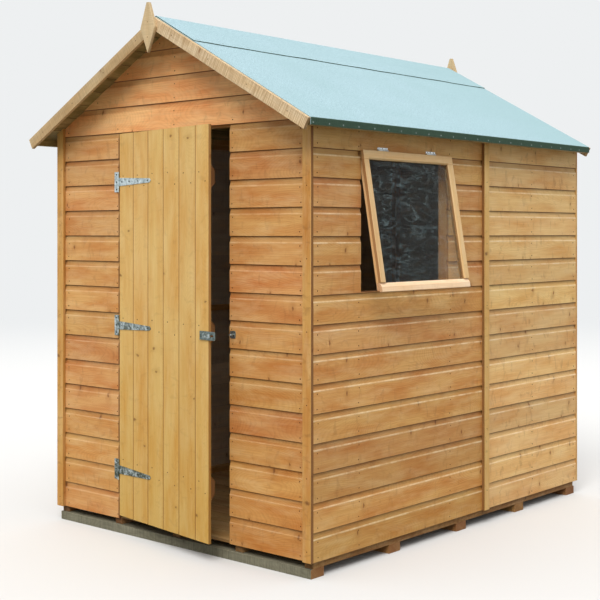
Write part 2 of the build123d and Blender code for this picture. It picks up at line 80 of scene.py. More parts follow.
# %% [markdown]
# Colours are written as the hex codes that a screen uses and turned to linear light by one function, because
# the renderer adds and multiplies light, and a hex code is not a measure of light.
# One more function adds a shader node to a tree of them. Its inputs come in the order in which the node shows them,
# and each is a number, a colour or the node that feeds it, so that each material below reads as a list of steps. A
# MapRange, for one, takes its value, then the range that it has and the range that it becomes.

# %% Colours and shader nodes
smooth = {"interpolation_type": "SMOOTHSTEP"}       # for a MapRange that eases in and out
flat = {"noise_dimensions": "2D"}                   # for a noise that reads the grain map


def colour(code):
    """Linear colour of an sRGB hex code."""
    parts = [int(code[i:i + 2], 16) / 255 for i in (1, 3, 5)]
    return [v / 12.92 if v <= 0.04045 else ((v + 0.055) / 1.055) ** 2.4 for v in parts] + [1]


def add_node(tree, kind, *inputs, **settings):
    """A shader node. A dict after the inputs fills some by name, and a node gives its first output."""
    node = tree.nodes.new("ShaderNode" + kind)
    for name, value in settings.items():
        setattr(node, name, value)
    named = inputs[-1] if inputs and isinstance(inputs[-1], dict) else {}
    shown = [socket for socket in node.inputs if socket.enabled]
    pairs = list(zip(shown, inputs[:-1] if named else inputs))
    for socket, value in pairs + [(node.inputs[name], value) for name, value in named.items()]:
        if isinstance(value, bpy.types.Node):
            value = next(output for output in value.outputs if output.enabled)
        if isinstance(value, bpy.types.NodeSocket):
            tree.links.new(value, socket)
        else:
            socket.default_value = value
    return node


def empty_material(name):
    """A material with no nodes yet, and the function that adds them to it."""
    material = bpy.data.materials.new(name)
    material.use_nodes = True
    material.node_tree.nodes.clear()
    return material, partial(add_node, material.node_tree)


print("orange brown", [round(v, 3) for v in colour("#C8905A")])

# %% [markdown]
# The light is an overcast sky and one broad soft lamp from the front right, as in a plain studio. The sky is three
# times as bright overhead as at the horizon, as it is in a place with dark surroundings, so it is dark under the
# eaves. The sky that the camera sees is a pale colour of its own, and so is what glass and metal mirror, so the
# background can be near white without any more light on the shed.

# %% Sky and lamp
backdrop = colour("#EEF0F1")
horizon_light, zenith_light = 0.4, 1.3
world = bpy.data.worlds.new("overcast")
world.use_nodes = True
world.node_tree.nodes.clear()
scene.world = world
add = partial(add_node, world.node_tree)
ray = add("LightPath").outputs
seen = add("Math", ray["Is Camera Ray"], ray["Is Glossy Ray"], operation="MAXIMUM")
seen = add("Math", seen, ray["Is Transmission Ray"], operation="MAXIMUM")
aloft = add("SeparateXYZ", add("TexCoord").outputs["Generated"]).outputs["Z"]
bright = add("MapRange", aloft, 0, 1, horizon_light, zenith_light)
sky = add("Background", colour("#F4F7FA"), bright)
pale = add("Background", backdrop, 1.0)
add("OutputWorld", add("MixShader", seen, sky, pale))

lamp_data = bpy.data.lights.new("broad lamp", "SUN")
lamp_data.energy = 2.3
lamp_data.angle = math.radians(35)
lamp_data.color = (1.0, 0.975, 0.94)
lamp = bpy.data.objects.new("broad lamp", lamp_data)
lamp.rotation_euler = (math.radians(42), 0, math.radians(30))
scene.collection.objects.link(lamp)
print("lamp points", [round(v, 2) for v in lamp.rotation_euler.to_matrix() @ Vector((0, 0, -1))])

# %% [markdown]
# The floor is one plain pale sheet. Close to the shed it takes the shadow, and further out it fades into the
# colour of the backdrop, so no horizon line cuts across the picture. A curved paper sweep would do the same, but
# it would be in the way of a view from behind. Only the camera sees the floor that pale: it throws back as little
# light as dull ground does, or the undersides of the eaves and boards would be lit from below.

# %% Floor
floor_mesh = bmesh.new()
bmesh.ops.create_grid(floor_mesh, x_segments=1, y_segments=1, size=150)
floor_data = bpy.data.meshes.new("studio floor")
floor_mesh.to_mesh(floor_data)
floor_mesh.free()
floor = bpy.data.objects.new("studio floor", floor_data)
scene.collection.objects.link(floor)

fade_from, fade_to = 3.5, 14.0      # metres from the middle of the shed
floor_paint, add = empty_material("matt painted floor")
reach = add("VectorMath", add("TexCoord").outputs["Object"], operation="LENGTH")
fade = add("MapRange", reach, fade_from, fade_to, **smooth)
paint = add("BsdfDiffuse", colour("#DDDCDA"))
blend = add("MixShader", fade, paint, add("Emission", backdrop, 1.0))
dull = add("BsdfDiffuse", colour("#82857A"))
bounced = add("MixShader", add("LightPath").outputs["Is Diffuse Ray"], blend, dull)
add("OutputMaterial", bounced)
floor_data.materials.append(floor_paint)
print("floor", floor_data.materials[0].name)

# %% [markdown]
# Timber. Nearly all of the shed is softwood, spruce or redwood, planed or left from the saw, and then dipped in a
# honey brown preservative. What the eye reads from some metres off is each board's own tone, streaks that run
# along the board, the arches of the growth rings and here and there a brown knot with the rings bent round it.
# A photograph of wood would repeat and carry its own light. So the figure is worked out as it arises in a tree:
# the rings are tubes about the heart of the log, and the board is a flat cut through them.
#
# The pattern reads a map called grain, in metres, that runs along each board and starts somewhere else on every board,
# and two numbers kept on its faces: board, a chance value that sets its tone, and end, which is 1 on end grain and more
# where dirt and painted shade stand. What lies along the fibre is a noise drawn out one way. So its map is scaled by
# how many times it is to change in a metre along the board and across it, and the noise keeps a scale of 1.

# %% The timber material
board_cover = 0.1175
scoop_height = 0.027
arris_height = board_cover - scoop_height
ring_spacing = 0.0046       # growth rings of quick-grown spruce
knot_spacing = (0.10, 0.19)  # one place for a knot every 100 mm along and 190 mm across, and most stay empty
# Colour of the dirt in the joints between boards, which also stands for the shade there.
joint_dirt_and_shade = "#5C2E04"
damp_from, damp_to = 0.1, 1.2       # heights between which rain off the ground darkens the boards less and less


def timber(name, early, late, dip, knot, knots=0.3, figure=0.3, sawn=0.0, arris_at=None, rough=0.6, damp=0.0,
           vary=0.8, strokes=0.18, bleach="#E4BE8C", arris_wear_and_highlight=0.75, door_gap_shade_at=None):
    """Softwood. early and late are its ring colours, dip the colour of the deeper stain in patches.

    bleach is where the sun has taken the stain. vary is how much one board's tone differs from the next, and damp
    darkens the foot of an upright piece. arris_wear_and_highlight is how pale the arris over a shiplap hollow is
    painted, partly as rubbed wood and partly as a painted highlight, and door_gap_shade_at is where along the x axis
    the boards end beside the door, where they are painted dark as the shade in the gap there.
    """
    material, add = empty_material(name)
    grain = add("UVMap", uv_map="grain")
    board = add("Attribute", attribute_name="board").outputs["Fac"]
    end = add("Attribute", attribute_name="end").outputs["Fac"]
    across = add("SeparateXYZ", grain).outputs["Y"]

    # Knots: round places a few centimetres apart, of which a chance value keeps some.
    ragged = add("TexNoise", grain, 60, 1, **flat).outputs["Color"]
    nudged = add("VectorMath", grain, add("VectorMath", ragged, 0.009, operation="SCALE"), operation="ADD")
    spread = add("Mapping", nudged, {"Scale": (1 / knot_spacing[0], 1 / knot_spacing[1], 1)})
    cells = add("TexVoronoi", spread, 1.0, voronoi_dimensions="2D")
    chance_of = add("SeparateColor", cells.outputs["Color"])
    kept = add("Math", chance_of, knots, operation="LESS_THAN")
    size = add("MapRange", chance_of.outputs["Green"], 0, 1, 0.04, 0.1)
    ratio = add("Math", cells, size, operation="DIVIDE")
    core = add("Math", add("MapRange", ratio, 0.2, 1.3, 0.8, 0, **smooth), kept, operation="MULTIPLY")
    halo = add("Math", add("MapRange", ratio, 0.7, 4.6, 1, 0, **smooth), kept, operation="MULTIPLY")

    # Growth rings: distance from the heart of the log, which wanders nearer to the board and away from it.
    seed = add("Math", add("Math", board, 7.31, operation="MULTIPLY"), operation="FRACT")
    aside = add("Math", across, add("MapRange", seed, 0, 1, -0.06, 0.16), operation="SUBTRACT")
    drift = add("TexNoise", add("Mapping", grain, {"Scale": (1.1, 0, 1)}), 1.0, 1.5, **flat)
    behind = add("MapRange", drift, 0.25, 0.75, 0.02, 0.16)
    radius = add("VectorMath", add("CombineXYZ", aside, behind), operation="LENGTH")
    sway = add("TexNoise", add("Mapping", grain, {"Scale": (5, 22, 1)}), 1.0, 2, **flat)
    bent = add("Math", sway, 0.006, radius, operation="MULTIPLY_ADD")
    bent = add("Math", halo, 0.016, bent, operation="MULTIPLY_ADD")
    turns = add("Math", bent, ring_spacing, operation="DIVIDE")
    ring = add("ValToRGB", add("Math", turns, operation="FRACT"))
    ramp = ring.color_ramp.elements
    ramp[0].position, ramp[0].color = 0.35, (0, 0, 0, 1)
    ramp[1].position, ramp[1].color = 0.86, (1, 1, 1, 1)
    ramp.new(1.0).color = (0, 0, 0, 1)

    # Streaks along the fibre, and patches where the dip went in deeper or the sun has taken it.
    fibre = add("TexNoise", add("Mapping", grain, {"Scale": (5, 210, 1)}), 1.0, 4, 0.62, **flat)
    deep = add("TexNoise", add("Mapping", grain, {"Scale": (2.6, 12, 1)}), 1.0, 3, 0.55, **flat)
    deep = add("MapRange", deep, 0.36, 0.72, 0, 0.7)
    faded = add("TexNoise", add("Mapping", grain, (3, 5, 0), {"Scale": (4.5, 20, 1)}), 1.0, 4, 0.65, **flat)
    faded = add("MapRange", faded, 0.46, 0.78, 0, 0.42)
    mark = add("Math", ring, figure, operation="MULTIPLY")
    mark = add("Math", fibre, 0.9, mark, operation="MULTIPLY_ADD")
    mark = add("Math", mark, 0.28, operation="SUBTRACT", use_clamp=True)
    paint = add("Mix", mark, colour(early), colour(late), data_type="RGBA")
    coats = [(deep, dip, "MULTIPLY"), (faded, bleach, "MIX")]       # what lies over it, one on the other

    # Where the fibre stands up round an old branch it drinks more stain, in short strokes across the board.
    around = add("Math", halo, 0.4, operation="MULTIPLY")
    stroke = add("TexNoise", add("Mapping", grain, {"Scale": (30, 16, 1)}), 1.0, 2, 0.6, {"Distortion": 0.5}, **flat)
    stroke = add("MapRange", stroke, 0.55, 0.8, 0, strokes, **smooth)
    coats += [(around, late, "MIX"), (core, knot, "MIX"), (stroke, knot, "MIX")]
    if sawn:
        # Saw teeth leave shallow lines across the board, a little slanted, and the dip settles in them.
        teeth = add("TexNoise", add("Mapping", grain, (0, 0, 0), (0, 0, 0.12), (240, 9, 1)), 1.0, 1, **flat)
        coats.append((add("MapRange", teeth, 0.4, 0.68, 0, 0.55 * sawn), late, "MIX"))
    if arris_at:
        # Each hollow is painted a little darker, as shade under the next board. The arris under it is painted pale,
        # partly as rubbed wood and partly as a painted highlight, and the joint is painted dark, as dirt and as shade.
        hollow = add("MapRange", across, arris_at, arris_at + 0.004, 0, 0.85, **smooth)
        height = add("Math", add("Math", across, arris_at, operation="SUBTRACT"), operation="ABSOLUTE")
        line = add("MapRange", height, 0.0012, 0.0052, 1, 0, **smooth)
        broken = add("TexNoise", add("Mapping", grain, {"Scale": (11, 8, 1)}), 1.0, 5, 0.75, **flat)
        broken = add("MapRange", broken, 0.36, 0.68, 0.2 * arris_wear_and_highlight, arris_wear_and_highlight)
        line = add("Math", line, broken, operation="MULTIPLY")
        joint = arris_at + scoop_height
        upper = add("MapRange", across, joint - 0.0038, joint - 0.0004, **smooth)
        lower = add("MapRange", across, 0.0002, 0.0016, 1, 0, **smooth)
        dirt = add("Math", add("Math", upper, lower, operation="MAXIMUM"), 0.92, operation="MULTIPLY")
        coats += [(hollow, "#E0DED8", "MULTIPLY"), (line, "#F4DCB4", "MIX"), (dirt, joint_dirt_and_shade, "MIX")]
    place = add("TexCoord").outputs["Object"] if door_gap_shade_at or damp else None
    # Beside the door the ends of the boards are painted dark, as the shade in the gap between them and the door.
    if door_gap_shade_at:
        door_gap_shade = add("MapRange", add("SeparateXYZ", place), door_gap_shade_at - 0.011, door_gap_shade_at - 0.004, 0, 0.85, **smooth)
        coats.append((door_gap_shade, joint_dirt_and_shade, "MIX"))
    coats.append((add("Math", end, 0.55, operation="MULTIPLY"), knot, "MIX"))
    for share, code, blend in coats:
        paint = add("Mix", share, paint, colour(code), data_type="RGBA", blend_type=blend)

    # Each board has its own tone and hue, and the foot of a wall is darker and richer.
    tone = add("Math", add("Math", board, 3.77, operation="MULTIPLY"), operation="FRACT")
    value = add("MapRange", tone, 0, 1, 1 - 0.12 * vary, 1 + 0.12 * vary)
    hue = add("MapRange", board, 0, 1, 0.5 - 0.007 * vary, 0.5 + 0.007 * vary)
    paint = add("HueSaturation", {"Hue": hue, "Value": value, "Color": paint})
    if damp:
        height = add("SeparateXYZ", place).outputs["Z"]
        darker = add("MapRange", height, damp_from, damp_to, 1 - damp, 1)
        richer = add("MapRange", height, damp_from, damp_to, 1 + damp / 2, 1)
        paint = add("HueSaturation", {"Saturation": richer, "Value": darker, "Color": paint})

    relief = add("Math", fibre, 0.8, ring, operation="MULTIPLY_ADD")
    if sawn:
        relief = add("Math", teeth, 3.0 * sawn, relief, operation="MULTIPLY_ADD")
    bump = add("Bump", {"Strength": 0.6, "Distance": 0.0004, "Height": relief})
    sheen = add("MapRange", fibre, 0, 1, rough - 0.08, rough + 0.1)
    add("OutputMaterial", add("BsdfPrincipled", {"Base Color": paint, "Roughness": sheen, "IOR": 1.5,
                                                 "Specular IOR Level": 0.35, "Normal": bump}))
    return material


print("timber is ready, rings", ring_spacing, "m apart")

# %% [markdown]
# Each kind of timber on the shed has its own stain. The wall boards are the deepest orange, the door is yellower,
# the trim is paler, and what is inside or under the floor is nearly bare. The bargeboards come from the saw.
# In each row stand the early wood, the late wood, the deeper dip and the knots.

# %% The shed's timbers
door_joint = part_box("front_wall_left")[1].x
lapped = {"knots": 0.24, "figure": 0.17, "arris_at": arris_height}
finishes = {}
for finish, name, codes, traits in (
        ("shiplap_boarding", "spruce shiplap planed and dipped", "#DDAA69 #B57D42 #E2B686 #7A431C",
         {**lapped, "damp": 0.06}),
        ("front_shiplap", "spruce shiplap under the gable's shelter", "#E0AC6C #B97F46 #E2B686 #7A431C",
         {**lapped, "damp": 0.04, "arris_wear_and_highlight": 0.25, "door_gap_shade_at": door_joint}),
        ("deep_shiplap", "spruce shiplap of a deeper batch", "#DAA364 #B0743C #E0B080 #74401A",
         {**lapped, "damp": 0.09, "arris_wear_and_highlight": 0.25}),
        ("board_backs", "spruce board back left sawn and bare", "#D2C0AC #AC9680 #E4D8C8 #6A4A30",
         {"figure": 0.15, "sawn": 0.5, "rough": 0.75}),
        # The gable's boards are painted lighter and redder than the walls, as painted light that makes up for the shade
        # under the eaves, and their arris gets no pale line.
        ("gable_shiplap_painted_lighter", "spruce shiplap of a redder batch", "#FCC684 #D29052 #E6B486 #7A431C",
         {**lapped, "knots": 0.2, "arris_wear_and_highlight": 0.0}),
        ("pale_shiplap", "spruce shiplap of a paler batch", "#F1C98A #CA985A #E8C494 #86481A",
         {**lapped, "knots": 0.36, "strokes": 0.26}),
        ("door_boarding", "spruce matchboard planed and dipped", "#E4BC76 #CC9F58 #EFD3A6 #7E4E22",
         {"knots": 0.13, "figure": 0.15, "damp": 0.15, "vary": 0.3, "strokes": 0.12, "bleach": "#E8C78C"}),
        ("ledge_timber", "spruce ledge planed and dipped", "#D8AA68 #B58344 #E6BE84 #5A3416", {"knots": 0.2}),
        ("sash_timber", "redwood joinery planed and stained", "#F0CE9C #D6AA70 #F2D8AC #8A5424",
         {"knots": 0.05, "rough": 0.5, "vary": 0.4, "strokes": 0.1}),
        ("bleached_rail", "redwood sill rail bleached by rain", "#FADFBF #E6C096 #F6E2C6 #A06E3C",
         {"knots": 0.0, "strokes": 0.1}),
        ("barge_timber", "spruce bargeboard sawn and dipped", "#ECD6B4 #B08C64 #F0E0C6 #8A5A2C",
         {"knots": 0.1, "figure": 0.1, "sawn": 1.4, "rough": 0.75, "vary": 0.2}),
        ("brown_barge", "spruce bargeboard sawn and dipped twice", "#D4BA92 #A08460 #E2CAA8 #7A4A22",
         {"knots": 0.15, "figure": 0.1, "sawn": 0.9, "rough": 0.75, "vary": 0.4}),
        ("finial_timber", "spruce finial sawn and dipped", "#DCC6A0 #B09874 #E6D2B0 #7A4E26",
         {"knots": 0.1, "figure": 0.2, "sawn": 0.6, "rough": 0.75, "vary": 0.4}),
        ("trim_timber", "spruce batten planed and dipped", "#D8A65E #B6823E #E2B678 #6E4019",
         {"vary": 0.4, "strokes": 0.3}),
        ("cover_strip", "spruce cover strip planed and dipped", "#E4BA76 #C29452 #EACB94 #6E4420",
         {"vary": 0.4, "strokes": 0.3}),
        ("framing_timber", "spruce framing sawn and dipped", "#C89A5E #A87740 #DDB07A #6E421F",
         {"knots": 0.25, "sawn": 0.7, "rough": 0.75}),
        # The roof boards are painted dark, as the shade under the eaves.
        ("roof_boarding", "spruce roof board planed and dipped", "#96824E #70623A #AE9C6A #3E2A14", {"vary": 0.4}),
        ("floor_boarding", "spruce floor board planed", "#C9A470 #A9824E #DDBB8A #74502A", {}),
        ("joist_timber", "spruce joist sawn and treated", "#A67C4C #7C572C #C09870 #523418",
         {"knots": 0.25, "sawn": 0.8, "rough": 0.8}),
        ("bearer_timber", "spruce bearer sawn and treated", "#BC8C58 #8E6036 #D0A686 #7A5030",
         {"knots": 0.2, "sawn": 0.9, "rough": 0.8}),
        ("grey_bearer", "spruce bearer sawn and weathered grey", "#8A8470 #5E5A4A #D2D0C4 #4A4436",
         {"knots": 0.2, "sawn": 1.2, "rough": 0.85, "bleach": "#A09C88"})):
    finishes[finish] = timber(name, *codes.split(), **traits)
print(len(finishes), "timbers")

# %% [markdown]
# The steel of the hinges, the hasp and the nails is galvanised. Dipped in hot zinc, steel comes out with a
# bright spangle of crystals that dulls to a blue grey within a season. It is a metal, so its colour is that of
# its reflection, and the crystals differ a little in tone and in how they scatter light.

# %% Zinc
splash_top, splash_full = 1.5, 0.8          # heights between which rain off the ground dulls zinc more and more


def zinc(name, bright, dull, spangle=0.007, rough=0.42, splashed=0.0):
    """Galvanised steel. splashed is how far rain off the ground has dulled what sits low."""
    material, add = empty_material(name)
    place = add("TexCoord").outputs["Object"]
    crystals = add("TexVoronoi", place, 1 / spangle)
    shade = add("SeparateColor", crystals.outputs["Color"])
    bloom = add("TexNoise", place, 55, 4, 0.65)
    mixed = add("Math", shade, 0.25, bloom, operation="MULTIPLY_ADD", use_clamp=True)
    paint = add("Mix", add("MapRange", mixed, 0.4, 0.95), colour(bright), colour(dull), data_type="RGBA")
    height = add("SeparateXYZ", place).outputs["Z"]
    dirt = add("MapRange", height, splash_top, splash_full, 0, splashed)
    spots = add("MapRange", bloom, 0.38, 0.6, 0.4, 1.3)
    dirt = add("Math", dirt, spots, operation="MULTIPLY", use_clamp=True)
    paint = add("Mix", dirt, paint, colour("#4C5448"), data_type="RGBA")
    sheen = add("MapRange", bloom, 0, 1, rough - 0.1, rough + 0.22)
    bump = add("Bump", {"Strength": 0.25, "Distance": 0.0003, "Height": bloom})
    add("OutputMaterial", add("BsdfPrincipled", {"Base Color": paint, "Metallic": 1.0, "Roughness": sheen,
                                                 "Normal": bump}))
    return material


fitting_zinc = zinc("hot dip zinc on pressed steel", "#DCE8EA", "#7E9094", splashed=0.8)
# The hasp gets a darker zinc, which sets off its panel as a painted highlight with painted shade round it.
dull_zinc = zinc("hot dip zinc made darker for the hasp", "#889694", "#3E4C4A", splashed=0.2)
# The window hinges get a brighter zinc, as a painted highlight where the light falls on them.
lit_zinc = zinc("zinc plate painted bright as if lit", "#E2E6E6", "#A8B0B2", rough=0.35)
screw_zinc = zinc("zinc screw heads gone dull", "#5C6464", "#2E3434", spangle=0.003, rough=0.5)
nail_zinc = zinc("zinc nail heads stained by the dip", "#6A4428", "#3C2410", spangle=0.002, rough=0.55)
clout_zinc = zinc("zinc clout heads", "#8E9A96", "#5C6A64", spangle=0.002, rough=0.5)
print("zinc on fittings", fitting_zinc.name)

# %% [markdown]
# The roof is covered with felt: a bitumen sheet with slate grit rolled into its face. It comes in two copies of one
# felt. The faces that look up are painted a pale blue green, as the sky lights them, and the turned-down edge and the
# other faces out of the light are painted a dark bottle green, as shade. The grit is finer than a millimetre. Drawn
# that fine it would vanish, so it is drawn at about four millimetres, and a second, slower pattern gives the sheet the
# slight waves of a roll laid cold. The felt is painted duller towards the back of the roof.

# %% Felt
grit = 0.004
dull_from, dull_to = -0.2, 1.1      # along the roof, towards the back


def felt(name, light, dark, worn):
    material, add = empty_material(name)
    place = add("TexCoord").outputs["Object"]
    speck = add("TexNoise", place, 1 / grit, 2, 0.7)
    paint = add("Mix", add("MapRange", speck, 0.36, 0.64), colour(light), colour(dark), data_type="RGBA")
    cloud = add("MapRange", add("TexNoise", place, 2.4, 5, 0.6), 0.35, 0.7)
    cloud = add("Math", cloud, 0.5, operation="MULTIPLY")
    back = add("MapRange", add("SeparateXYZ", place).outputs["Y"], dull_from, dull_to, 0, 0.75)
    for share in (cloud, back):
        paint = add("Mix", share, paint, colour(worn), data_type="RGBA")
    waves = add("TexNoise", add("Mapping", place, {"Scale": (5, 2.2, 5)}), 1.0, 1.0)
    slow = add("Bump", {"Strength": 1.0, "Distance": 0.012, "Height": waves})
    fine = add("Bump", {"Strength": 0.5, "Distance": 0.001, "Height": speck, "Normal": slow})
    add("OutputMaterial", add("BsdfPrincipled", {"Base Color": paint, "Roughness": 0.85,
                                                 "Specular IOR Level": 0.3, "Normal": fine}))
    return material


# The face copy is painted pale as if lit by the sky, and the edge copy is painted dark as if in shade.
lit_felt = felt("bitumen felt faced with slate grit", "#B8D2D9", "#88A5AD", "#98B6BA")
shaded_felt = felt("bitumen felt with slate grit painted dark as if in shade", "#3E5645", "#2C3F33", "#34493B")
print("felts", lit_felt.name, shaded_felt.name)

# %% [markdown]
# The pane is clear horticultural glass, 3 mm thick. What shows in it is the dark inside of the shed, the pale
# sky that its face mirrors, and a film of dust that was wiped to and fro and left thin bent smears. Those
# are drawn as the contour line of a slow noise: where the noise passes its middle value, a thin line runs.
# A path tracer takes a refracting pane for a wall when it looks for lamps, and then all that is behind it lies in
# shadow. So for rays on their way to a lamp the pane is plain transparent.

# %% Glass
glass, add = empty_material("float glass with a dusty film")
pane_tint = colour("#E4EAEC")
place = add("TexCoord").outputs["Object"]
wiped = add("TexNoise", add("Mapping", place, {"Scale": (12, 12, 42)}), 1.0, 5, 0.6, {"Distortion": 0.5})
smear = add("Math", add("Math", wiped, 0.5, operation="SUBTRACT"), operation="ABSOLUTE")
smear = add("MapRange", smear, 0, 0.026, 0.15, 0)
cloth = add("MapRange", add("TexNoise", place, 9.0, 3, 0.6), 0.34, 0.62, 0.15)
film = add("Math", smear, cloth, 0.003, operation="MULTIPLY_ADD")
pane = add("BsdfPrincipled", {"Base Color": pane_tint, "Roughness": 0.03, "IOR": 1.12, "Transmission Weight": 1.0})
filmed = add("MixShader", film, pane, add("BsdfDiffuse", colour("#A4BCC0")))
to_lamp = add("LightPath").outputs["Is Shadow Ray"]
add("OutputMaterial", add("MixShader", to_lamp, filmed, add("BsdfTransparent", pane_tint)))
print("glass", glass.name)

# %% [markdown]
# A board is easiest to make as it is milled: its section first, then its length. The functions below lay boards
# into one mesh per panel. Each board gets its own stretch of the grain map and its own tone, from a seeded chance,
# so that the walls, the door, the floor and the roof come out alike in every run.

# %% Boards, their grain and a finished piece
chance = random.Random(41)
to_front, to_back = Vector((0, -1, 0)), Vector((0, 1, 0))
to_right, to_left, upward = Vector((1, 0, 0)), Vector((-1, 0, 0)), Vector((0, 0, 1))
lengthways, crossways = Vector((1, 0, 0)), Vector((0, 1, 0))        # of boards as they are laid, before they are set up


def layered(mesh):
    """Give a mesh the map and the two numbers on its faces that the timber reads."""
    mesh.loops.layers.uv.new("grain")
    for name in ("board", "end"):
        mesh.faces.layers.float.new(name)
    return mesh


def lay_grain(mesh, faces, along, up=None, foot=0.0, ends=1.0):
    """Run the grain along one board. up and foot measure across it from its lower edge, ends darkens its cuts."""
    grain = mesh.loops.layers.uv["grain"]
    board = mesh.faces.layers.float["board"]
    end = mesh.faces.layers.float["end"]
    start, tone = chance.uniform(0, 90), chance.random()
    for face in faces:
        face.normal_update()
        cut = abs(face.normal.dot(along)) > 0.7
        across = face.normal.cross(along)
        if cut or across.length < 1e-6:
            across = along.orthogonal()
        if up is not None and (cut or abs(across.dot(up)) > 0.4):
            across = up
        lengthwise = along.cross(across) if cut else along
        face[board] = tone
        face[end] = ends if cut else 0.0
        for loop in face.loops:
            loop[grain].uv = (loop.vert.co.dot(lengthwise) + start, loop.vert.co.dot(across) - foot)


def lay_board(mesh, outline, start, stop):
    """Carry an outline in height and depth from start to stop, and return the board's faces."""
    corners = [mesh.verts.new((start, height, depth)) for depth, height in outline]
    face = mesh.faces.new(corners)
    grown = bmesh.ops.extrude_face_region(mesh, geom=[face])["geom"]
    far = [part for part in grown if isinstance(part, bmesh.types.BMVert)]
    bmesh.ops.translate(mesh, verts=far, vec=(stop - start, 0, 0))
    faces = list({face for corner in corners + far for face in corner.link_faces})
    bmesh.ops.recalc_face_normals(mesh, faces=faces)
    return faces


def saw_off(mesh, faces, point, normal):
    """Cut one board at a plane, keep what lies behind it, and close the cut."""
    parts = {part for face in faces for part in (*face.verts, *face.edges, face)}
    cut = bmesh.ops.bisect_plane(mesh, geom=list(parts), dist=1e-6, plane_co=point, plane_no=normal, clear_outer=True)
    rim = [part for part in cut["geom_cut"] if isinstance(part, bmesh.types.BMEdge)]
    filled = bmesh.ops.edgeloop_fill(mesh, edges=rim)["faces"] if rim else []
    kept = {part for part in cut["geom"] if isinstance(part, bmesh.types.BMFace) and part.is_valid}
    return [face for face in kept | set(filled) if face.is_valid]


def finished(mesh, name, materials, body, slot, *replaced, place=None):
    """Write a mesh as a piece that rides on a body, and hide the CAD nodes that it stands for."""
    if place:
        bmesh.ops.transform(mesh, matrix=place, verts=mesh.verts)
    data = bpy.data.meshes.new(name)
    mesh.to_mesh(data)
    mesh.free()
    for material in materials:
        data.materials.append(material)
    piece = bpy.data.objects.new(name, data)
    scene.collection.objects.link(piece)
    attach(piece, body)
    if replaced:
        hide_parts(*replaced)
    print(name, len(data.polygons), "faces")
    return piece


# %% [markdown]
# The walls are shiplap. Every board has a square lower edge, rebated behind, and a hollow planed along its top that
# runs up under the next board to a thin tongue. The bright line along each board is the arris where the hollow starts,
# and the dark line over it is the gap under the next board. Both come from the section, so they hold from any side. The
# timber paints them too: the arris pale, as rubbed wood and as a painted highlight, and the joint dark, as dirt and as
# painted shade.

# %% The shiplap section
wall_foot = 0.066
cladding = 0.012
lip = 0.0063                # depth of the rebate behind the lower edge
tongue = 0.007
tongue_thick = 0.0058
play = 0.001                # room over the tongue
eased = 0.0007
scoop_depth = 0.006
scoop_pull = Vector((-0.0034, 0.0068, 0)), Vector((-0.0004, -0.0105, 0))    # what bends its foot and its head


def shiplap(sunk):
    """Outline of one board in depth and height. sunk sets its face back a little."""
    front, tip = cladding - sunk, board_cover + tongue
    start, stop = Vector((front, arris_height, 0)), Vector((cladding - scoop_depth, board_cover, 0))
    hollow = interpolate_bezier(start, start + scoop_pull[0], stop + scoop_pull[1], stop, 7)
    return [(lip, 0), (front - eased, 0), (front, eased), *((point.x, point.y) for point in hollow),
            (tongue_thick, tip), (0, tip), (0, tongue + play), (lip, tongue + play)]


def laid(up, out, origin):
    """Turns lengths along, across and outwards into places, for boards whose up and outward directions are given."""
    turn = Matrix((up.cross(out), up, out)).transposed().to_4x4()
    return Matrix.Translation(origin) @ turn


print("board of", len(shiplap(0)), "corners")

# %% [markdown]
# Panels of boards. A panel is a list of rows, and each row is one board, or two where the window interrupts it.
# The rows that meet the roof are sawn to its slope. Nail heads follow in pairs, where a board crosses a post.

# %% Roof slope and wall panels
pitch = math.radians(29)
side, end_face = 0.8, 1.067
inner_side, inner_end = side - cladding, end_face - cladding
ridge_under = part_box("back_wall")[1].z
panel_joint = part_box("right_wall_window_panel")[1].y
slope_up = Vector((0, math.cos(pitch), math.sin(pitch)))
face_spread = 0.0005        # how far back one board's face lies from the next at most


def roof_under(x):
    """Height of the roof boards' underside at a distance from the middle."""
    return ridge_under - math.tan(pitch) * abs(x)


def row_foot(row):
    return wall_foot + row * board_cover


def shiplap_panel(name, node, place, start, stop, rows, gable=False, hole=None, batch="shiplap_boarding"):
    mesh = layered(bmesh.new())
    for row in rows:
        foot = row_foot(row)
        spans = [(start, stop, None)]
        if hole and hole[2] < foot + board_cover and hole[3] > foot:
            spans = [(start, hole[0], None), (hole[1], stop, None)]
            if foot < hole[2]:
                spans.append((hole[0], hole[1], (hole[2], 1)))
            if foot + board_cover > hole[3]:
                spans.append((hole[0], hole[1], (hole[3], -1)))
        outline = [(depth, height + foot) for depth, height in shiplap(chance.uniform(0, face_spread))]
        for first, last, sill in spans:
            faces = lay_board(mesh, outline, first, last)
            if sill:
                faces = saw_off(mesh, faces, Vector((0, sill[0], 0)), Vector((0, sill[1], 0)))
            if gable:
                for hand in (-1, 1):
                    slope = Vector((hand * math.sin(pitch), math.cos(pitch), 0))
                    faces = saw_off(mesh, faces, Vector((0, ridge_under, 0)), slope)
            elif foot + board_cover + tongue > roof_under(side):
                faces = saw_off(mesh, faces, Vector((0, roof_under(side), cladding)), slope_up)
            lay_grain(mesh, faces, lengthways, crossways, foot)
            for face in faces:
                face.material_index = 1 if face.normal.z < -0.9 else 0      # the back was left sawn and bare
    return finished(mesh, name, [finishes[batch], finishes["board_backs"]], "shed", "shiplap_boarding", node,
                    place=place)


front_place, back_place = (laid(upward, out, out * inner_end) for out in (to_front, to_back))
right_place, left_place = (laid(upward, out, out * inner_side) for out in (to_right, to_left))
door_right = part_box("front_wall_right")[0].x
door_rows, side_rows, gable_rows = 15, 16, 19
window = (-0.763, -0.123, 1.1265, 1.708)        # where its opening starts and ends along the wall, then in height
print("panel joint", round(panel_joint, 4), "peak", round(ridge_under, 4))

